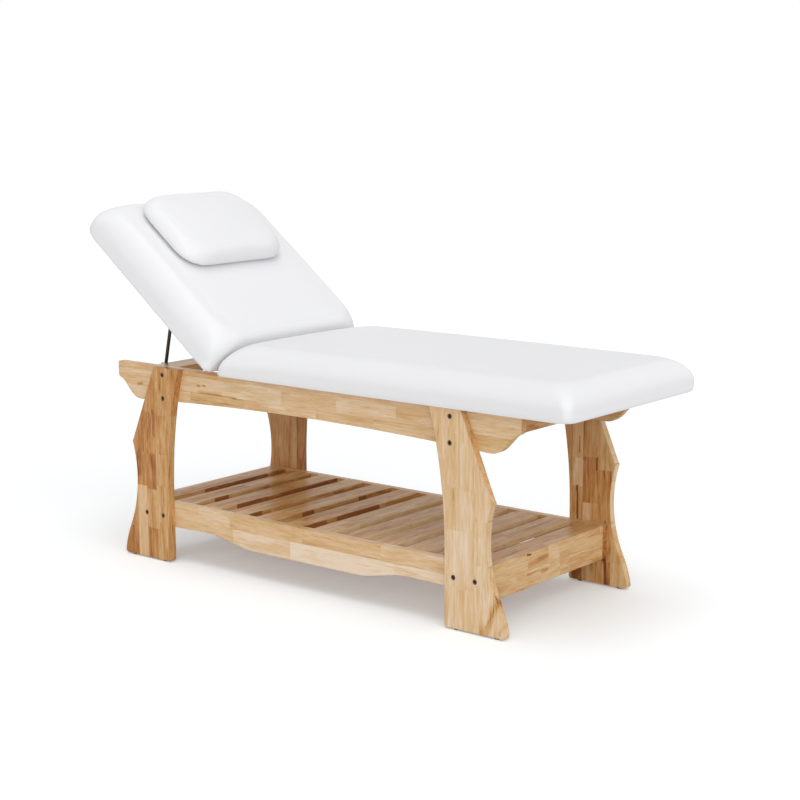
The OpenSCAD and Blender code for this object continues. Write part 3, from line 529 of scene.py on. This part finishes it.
# Cushions: foam on the boards under white vinyl drawn tight over the edge and stapled below.
# Each swells a little as cloth under pressure, from a slightly smaller form of its solid. It
# is worked on lying level, with its foot at z = 0.
vinyl_material, start, (x, y, z) = blank_material("white_vinyl")
place = start.node("TexCoord", out="Object")
pebbles = start.node("TexVoronoi", {"feature": "SMOOTH_F1"},
                     {"Vector": place, "Scale": 620.0, "Smoothness": 0.6})
pull = start.noise((x * 9, y * 9, z * 3), 3.0, Roughness=0.5)
handled = start.node("TexNoise", values={"Vector": place, "Scale": 3.1, "Detail": 2.0})
pebbled = (pebbles * 0.5).relief(0.16, 0.0006)
start.surface({"Base Color": handled.blend((0.775, 0.775, 0.79), (0.80, 0.80, 0.812)),
               "Roughness": 0.40 + pebbles * 0.12 + handled * 0.06,
               "Normal": pull.relief(0.35, 0.004, pebbled), "Specular IOR Level": 0.4,
               "Coat Weight": 0.08, "Coat Roughness": 0.25})

# How the covers are shaped, with heights above the foot.
SAME_POINT = 0.00002                    # points nearer than this are one
LEVEL = 0.0003                          # points no farther apart in height are level
SKIRT_HIGH = 0.014                      # a skirt hangs out over this height
FOLD_HIGH, FOLD_FADE = 0.016, 0.03      # folded corners are square to here, then fade
FLAT = 0.0004                           # points this near an end or side lie on it
CORNER, CORNER_PULL = 0.08, 25          # a sunken end's corners: reach, and pull inwards
SINK_LONG, SINK_WIDE = 0.15, 0.26       # reach of the sinking from the end and the sides
SINK_MORE = 1.8                         # share by which the corners sink deeper
TIED, FREEING = 0.004, 0.022            # the cover keeps still to here, then comes free
SMOOTH_FROM = 0.008                     # no smoothing lower than this
CUT, STAPLED = 0.003, 0.0045            # where a cover is cut, and stapled as cloth
DRAWN_TIGHT = 0.010                     # the cover lies against its solid to this height
SLACK = 0.0008                          # elsewhere it may lie this far inside
STILL_REACH = 0.12                      # swelling grows over this distance from a still end
TICKS = 20                              # frames for which the cloth is pressed out


def risen(height):
    """0 where a cover keeps still at its foot, to 1 where it is free."""
    share = min(1, max(0, (height - TIED) / FREEING))
    return share * share * (3 - 2 * share)


def smoothed(shape, rounds):
    """Evens a cover out above its foot."""
    for _ in range(rounds):
        bmesh.ops.smooth_vert(shape, verts=[v for v in shape.verts if v.co.z > SMOOTH_FROM],
                              factor=0.5, use_axis_x=True, use_axis_y=True, use_axis_z=True)


def settled(cushion):
    """A cushion's mesh as its modifiers leave it, which are then taken off."""
    mesh = bpy.data.meshes.new_from_object(
        cushion.evaluated_get(bpy.context.evaluated_depsgraph_get()))
    cushion.modifiers.clear()
    return mesh


def bare_skin(node, turned):
    """A solid's outer skin, laid level and without its foot, the faces of the pocket for its
    board, and the matrix that laid it level."""
    turn = Matrix.Rotation(-turned, 4, "Y")
    skin = bmesh.new()
    skin.from_mesh(nodes[node].data)
    bmesh.ops.remove_doubles(skin, verts=skin.verts, dist=SAME_POINT)
    skin.transform(turn)
    drop = Matrix.Translation((0, 0, -min(v.co.z for v in skin.verts)))
    skin.transform(drop)
    # without its foot the solid parts into the outer skin and the board's pocket
    bmesh.ops.delete(skin, context="FACES", geom=[
        f for f in skin.faces if max(v.co.z for v in f.verts) < LEVEL])
    outer = {max(skin.verts, key=lambda v: v.co.z)}
    queue = list(outer)
    while queue:
        for edge in queue.pop().link_edges:
            for point in edge.verts:
                if point not in outer:
                    outer.add(point)
                    queue.append(point)
    pocket = [[tuple(v.co) for v in f.verts] for f in skin.faces if f.verts[0] not in outer]
    bmesh.ops.delete(skin, context="VERTS", geom=[v for v in skin.verts if v not in outer])
    skin.normal_update()
    return skin, pocket, drop @ turn


def hang_skirt(skin, skirt):
    """Lets a cover's foot hang out by skirt."""
    for point in skin.verts:
        if point.co.z < SKIRT_HIGH:
            outward = Vector((point.normal.x, point.normal.y, 0)).normalized()
            point.co += outward * skirt * (1 - point.co.z / SKIRT_HIGH)


def corner(q, p):
    """How far out (q, p) lies, as a round corner counts it and as a nearly square one does."""
    return math.hypot(q, p), (q ** 8 + p ** 8) ** (1 / 8)


def shape_end(skin, facing, eased):
    """Squares the corners of a cover's end near its foot, as they are folded. Above, the end
    sinks by eased and more at its corners, which draw in."""
    levels = [[]]
    for point in sorted(skin.verts, key=lambda v: v.co.z):
        if levels[-1] and point.co.z - levels[-1][-1].co.z > LEVEL:
            levels.append([])
        levels[-1].append(point)
    ends = max(v.co.x * facing for v in skin.verts)
    sides = max(v.co.y for v in skin.verts)
    for points in levels:
        fold = 1 - min(1, max(0, (points[0].co.z - FOLD_HIGH) / FOLD_FADE))
        if fold > 0:
            end = max(v.co.x * facing for v in points)
            side = max(v.co.y for v in points)
            long = min(end - v.co.x * facing for v in points if abs(v.co.y) > side - FLAT)
            wide = min(side - abs(v.co.y) for v in points if v.co.x * facing > end - FLAT)
            for point in points:
                q = (point.co.x * facing - end) / long + 1
                p = (abs(point.co.y) - side) / wide + 1
                if q > 0 and p > 0:
                    as_round, as_square = corner(q, p)
                    out = (as_round / as_square - 1) * fold
                    point.co.x += q * out * long * facing
                    point.co.y += math.copysign(p * out * wide, point.co.y)
        for point in points if eased else ():
            q = (point.co.x * facing - ends) / CORNER + 1
            p = (abs(point.co.y) - sides) / CORNER + 1
            if q > 0 and p > 0:
                as_round, as_square = corner(q, p)
                out = (as_square / as_round - 1) * (1 - fold) * eased * CORNER_PULL
                point.co.x += q * out * CORNER * facing
                point.co.y += math.copysign(p * out * CORNER, point.co.y)
            p = min(1, max(0, 1 - (sides - abs(point.co.y)) / SINK_WIDE))
            q = min(1, max(0, 1 - (ends - point.co.x * facing) / SINK_LONG))
            point.co.z -= eased * (1 + SINK_MORE * p * p) * q * q * (3 - 2 * q) * (1 - fold)


def stuffed(name, skin, voxel, tuck):
    """A cushion with an even mesh, in the form of its skin drawn in by tuck."""
    bmesh.ops.holes_fill(skin, edges=[e for e in skin.edges if e.is_boundary], sides=0)
    skin.normal_update()
    for point in skin.verts:
        point.co -= point.normal * tuck * risen(point.co.z)
    mesh = bpy.data.meshes.new(name)
    skin.to_mesh(mesh)
    skin.free()
    cushion = bpy.data.objects.new(name, mesh)
    bpy.context.scene.collection.objects.link(cushion)
    cover = cushion.modifiers.new("cover", "REMESH")
    cover.mode = "VOXEL"
    cover.voxel_size = voxel
    cushion.data = settled(cushion)
    return cushion


def draw_down(cushion, foot, tips, voxel):
    """Cuts a cover near its foot and draws the edge down to the foot's lines and its tips."""
    shape = bmesh.new()
    shape.from_mesh(cushion.data)
    bmesh.ops.bisect_plane(shape, geom=shape.verts[:] + shape.edges[:] + shape.faces[:],
                           plane_co=(0, 0, CUT), plane_no=(0, 0, 1), clear_inner=True)
    bmesh.ops.remove_doubles(shape, verts=shape.verts, dist=voxel * 0.3)
    lower = bmesh.ops.extrude_edge_only(shape, edges=[e for e in shape.edges if e.is_boundary])
    lower = [v for v in lower["geom"] if isinstance(v, bmesh.types.BMVert)]
    for point in lower:
        at = Vector((point.co.x, point.co.y, 0))
        nearest = []
        for one, two in foot:
            run = two - one
            share = min(1, max(0, (at - one).dot(run) / max(run.length_squared, 1e-12)))
            nearest.append(one + run * share)
        point.co = min(nearest, key=lambda co: (co - at).length_squared)
    for tip in tips:
        min(lower, key=lambda v: (v.co - tip).length_squared).co = tip
    smoothed(shape, 4)
    shape.to_mesh(cushion.data)
    shape.free()


def pressed_out(cushion):
    """Where the stuffing presses a cover's points, with its foot stapled."""
    held = cushion.vertex_groups.new(name="stapled")
    held.add([v.index for v in cushion.data.vertices if v.co.z < STAPLED], 1.0, "REPLACE")
    cloth = cushion.modifiers.new("cloth", "CLOTH")
    cloth.settings.vertex_group_mass = "stapled"
    cloth.settings.use_pressure = True
    cloth.settings.uniform_pressure_force = 4.0
    cloth.settings.effector_weights.gravity = 0
    cloth.settings.quality = 5
    cloth.settings.tension_stiffness = 15
    cloth.settings.compression_stiffness = 15
    cloth.settings.bending_stiffness = 0.8
    cloth.point_cache.frame_start = 1
    cloth.point_cache.frame_end = TICKS
    for tick in range(1, TICKS + 1):
        bpy.context.scene.frame_set(tick)
    swollen = cushion.evaluated_get(bpy.context.evaluated_depsgraph_get())
    points = [v.co.copy() for v in swollen.data.vertices]
    cushion.modifiers.clear()
    cushion.vertex_groups.clear()
    bpy.context.scene.frame_set(1)
    return points


def hold_close(cushion, solid, swell, still):
    """Holds a cover to its solid, which it leaves outwards by no more than swell."""
    shape = bmesh.new()
    shape.from_mesh(cushion.data)
    smoothed(shape, 3)
    for point in shape.verts:
        touch, away, _, apart = solid.find_nearest(point.co)
        if point.co.z < 0.0001 or apart < 1e-6:
            continue
        if point.co.z < DRAWN_TIGHT:
            slack = 0
        elif (point.co - touch).dot(away) > 0:
            slack = swell * min(1, abs(point.co.x - still) / STILL_REACH)
        else:
            slack = SLACK
        if apart > slack:
            point.co = touch + (point.co - touch) * (slack / apart)
    smoothed(shape, 1)
    shape.to_mesh(cushion.data)
    shape.free()


def close(cushion, pocket, level):
    """Makes a cover's mesh finer, closes its foot round the board's pocket and puts it back
    in place. Returns the points of its rim, still level."""
    finer = cushion.modifiers.new("finer", "SUBSURF")
    finer.levels = finer.render_levels = 1
    mesh = settled(cushion)
    shape = bmesh.new()
    shape.from_mesh(mesh)
    for face in shape.faces:
        face.smooth = True
    open_edges = [e for e in shape.edges if e.is_boundary]
    for edge in open_edges:
        for point in edge.verts:
            point.co.z = 0
    rim = [v.co.copy() for v in {v for e in open_edges for v in e.verts}]
    corners = {}
    walls = []
    for loop in pocket:
        for co in loop:
            if co not in corners:
                corners[co] = shape.verts.new(co)
        walls.append(shape.faces.new([corners[co] for co in loop]))
    open_edges += [e for f in walls for e in f.edges if e.is_boundary]
    for edge in open_edges + [e for f in walls for e in f.edges]:
        edge.smooth = False
    bmesh.ops.triangle_fill(shape, use_beauty=True, edges=open_edges)
    bmesh.ops.recalc_face_normals(shape, faces=shape.faces)
    shape.transform(level.inverted())
    shape.to_mesh(mesh)
    shape.free()
    mesh.materials.append(vinyl_material)
    cushion.data = mesh
    return rim


def upholstered(name, node, voxel, tuck, swell, turned, still=math.inf, skirt=0, folded=False,
                eased=0):
    """A stuffed cover in place of a soft solid, the matrix that lays it level, and its rim.
    turned is how far its foot is tipped about y; still is where, seen level, its end meets the
    other cushion and keeps to the solid; skirt is how far its foot hangs out again; folded makes
    the corners at still square at the foot, and eased is how far that end sinks above."""
    skin, pocket, level = bare_skin(node, turned)
    hang_skirt(skin, skirt)
    facing = math.copysign(1, still - sum(v.co.x for v in skin.verts) / len(skin.verts))
    if folded:
        shape_end(skin, facing, eased)
    foot = [[v.co.copy() for v in e.verts] for e in skin.edges if e.is_boundary]
    tips = [max((co for line in foot for co in line), key=lambda co: co.x * facing + co.y * side)
            for side in (-1, 1)] if folded else []
    solid = BVHTree.FromBMesh(skin)
    cushion = stuffed(name, skin, voxel, tuck)
    draw_down(cushion, foot, tips, voxel)
    pressed = pressed_out(cushion)
    for vertex, there in zip(cushion.data.vertices, pressed):
        move = (there - vertex.co) * risen(vertex.co.z)
        if move.length > tuck + swell:
            move = move * ((tuck + swell) / move.length)
        vertex.co += move
    hold_close(cushion, solid, swell, still)
    rim = close(cushion, pocket, level)
    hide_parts(node)
    return cushion, level, rim


low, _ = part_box("seat_cushion")
seat, _, _ = upholstered("seat_pad", "seat_cushion", voxel=0.008, tuck=0.005, swell=0.0015,
                         turned=0, still=low.x, skirt=0.008, folded=True, eased=0.006)
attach(seat, "frame")

hinge = next(j for j in frame["joints"] if j["name"] == "back_hinge")
axle = Vector(hinge["pos_m"])
tilt = math.radians(38)
back, laid, rim = upholstered("back_pad", "back_cushion", voxel=0.0075, tuck=0.005,
                              swell=0.0015, turned=tilt,
                              still=(Matrix.Rotation(-tilt, 4, "Y") @ axle).x,
                              skirt=0.006, folded=True)
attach(back, "back")


def ringed(points):
    """The points of a closed line in order round it."""
    middle = sum(points, Vector()) / len(points)
    return sorted(points, key=lambda co: math.atan2(co.y - middle.y, co.x - middle.x))


def bridge(form, one, two):
    """Faces between two loops of points."""
    for k in range(len(one)):
        form.faces.new((one[k - 1], one[k], two[k], two[k - 1])).smooth = True


def trim(name, form, laid, material):
    """A piece from a form that was made lying level."""
    bmesh.ops.recalc_face_normals(form, faces=form.faces)
    form.transform(laid.inverted())
    mesh = bpy.data.meshes.new(name)
    form.to_mesh(mesh)
    form.free()
    mesh.materials.append(material)
    piece = bpy.data.objects.new(name, mesh)
    bpy.context.scene.collection.objects.link(piece)
    return piece


def spaced(start, length, count):
    """Places at equal distances over a length, both ends included."""
    return [start + k * length / (count - 1) for k in range(count)]


# The back's cover is turned under its board in a folded hem and stapled. The raised back
# shows it from the head end.
HEM = 0.045                             # how far in from the rim it ends
rim = ringed(rim)
low_x, high_x = min(co.x for co in rim), max(co.x for co in rim)
high_y = max(co.y for co in rim)
form = bmesh.new()
loops = []
for co in rim:
    inner = Vector((min(high_x - HEM, max(low_x + HEM, co.x)),
                    min(high_y - HEM, max(HEM - high_y, co.y)), 0))
    outer = co + (inner - co).normalized() * 0.0008
    lip = co + (inner - co).normalized() * 0.0026
    # round the folded vinyl: how far in, and how deep below the foot
    loops.append([form.verts.new((at.x, at.y, -depth)) for at, depth in (
        (outer, 0.0001), (outer, 0.0010), (lip, 0.0018), (inner, 0.0015), (inner, 0.0001))])
for i, loop in enumerate(loops):
    bridge(form, loop, loops[i - 1])
hem = trim("back_hem", form, laid, vinyl_material)
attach(hem, "back")

# The staples, as flat wire bent at both ends: (how far along it, how high).
STAPLE = ((-0.005, 0.0004), (-0.0046, -0.0004), (0.0046, -0.0004), (0.005, 0.0004))
ROUND_WIRE = (0.0, 1.05, 2.09, 3.14, 4.19, 5.24)
HALF_WIDE, HALF_THICK = 0.0006, 0.0003
STAPLES_IN, STAPLES_LOW = 0.034, 0.0016  # how far in from the rim, and below the foot
SIDE_STAPLES, END_STAPLES = 20, 18
spots = [(x, side * (high_y - STAPLES_IN), 0) for side in (-1, 1)
         for x in spaced(low_x + 0.05, high_x - low_x - 0.1, SIDE_STAPLES)]
spots += [(x, y, math.pi / 2) for x in (low_x + STAPLES_IN, high_x - STAPLES_IN)
          for y in spaced(-high_y + 0.06, high_y * 2 - 0.12, END_STAPLES)]
form = bmesh.new()
pick = random.Random(7)
for x, y, turn in spots:
    at = Matrix.Translation((x, y + pick.uniform(-0.001, 0.001), -STAPLES_LOW)) \
        @ Matrix.Rotation(turn + pick.uniform(-0.15, 0.15), 4, "Z")
    wire = [[form.verts.new(at @ Vector((along, math.cos(a) * HALF_WIDE,
                                         rise + math.sin(a) * HALF_THICK)))
             for a in ROUND_WIRE] for along, rise in STAPLE]
    for one, two in zip(wire, wire[1:]):
        bridge(form, one, two)
    form.faces.new(wire[0])
    form.faces.new(wire[-1])
staples = trim("back_staples", form, laid, steel)
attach(staples, "back")

# Pillow: a slim pad of the same vinyl, loose on the back. Its top and foot panels are sewn
# together low down, and the seam stands out as a fine welt all round.
SEAM_HIGH, WELT_OUT, WELT_RADIUS = 0.0155, 0.0004, 0.0013
pillow, laid, _ = upholstered("pillow_pad", "pillow", voxel=0.005, tuck=0.004, swell=0.001,
                              turned=tilt)
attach(pillow, "pillow")
form = bmesh.new()
form.from_mesh(pillow.data)
form.transform(laid)
cut = bmesh.ops.bisect_plane(form, geom=form.verts[:] + form.edges[:] + form.faces[:],
                             plane_co=(0, 0, SEAM_HIGH), plane_no=(0, 0, 1))["geom_cut"]
seam = ringed([v.co.copy() for v in cut if isinstance(v, bmesh.types.BMVert)])
form.free()
# every third point of the seam, evened out with three on either side
seam = [sum((seam[(i + k) % len(seam)] for k in range(-3, 4)), Vector()) / 7
        for i in range(0, len(seam) - 2, 3)]
form = bmesh.new()
loops = []
for i, co in enumerate(seam):
    run = (seam[(i + 1) % len(seam)] - seam[i - 1]).normalized()
    outward = run.cross(Vector((0, 0, 1)))
    loops.append([form.verts.new(
        co + outward * (WELT_OUT + WELT_RADIUS * math.cos(math.radians(a)))
        + Vector((0, 0, WELT_RADIUS * math.sin(math.radians(a))))) for a in range(0, 360, 45)])
for i, loop in enumerate(loops):
    bridge(form, loop, loops[i - 1])
welt = trim("pillow_welt", form, laid, vinyl_material)
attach(welt, "pillow")

low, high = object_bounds()
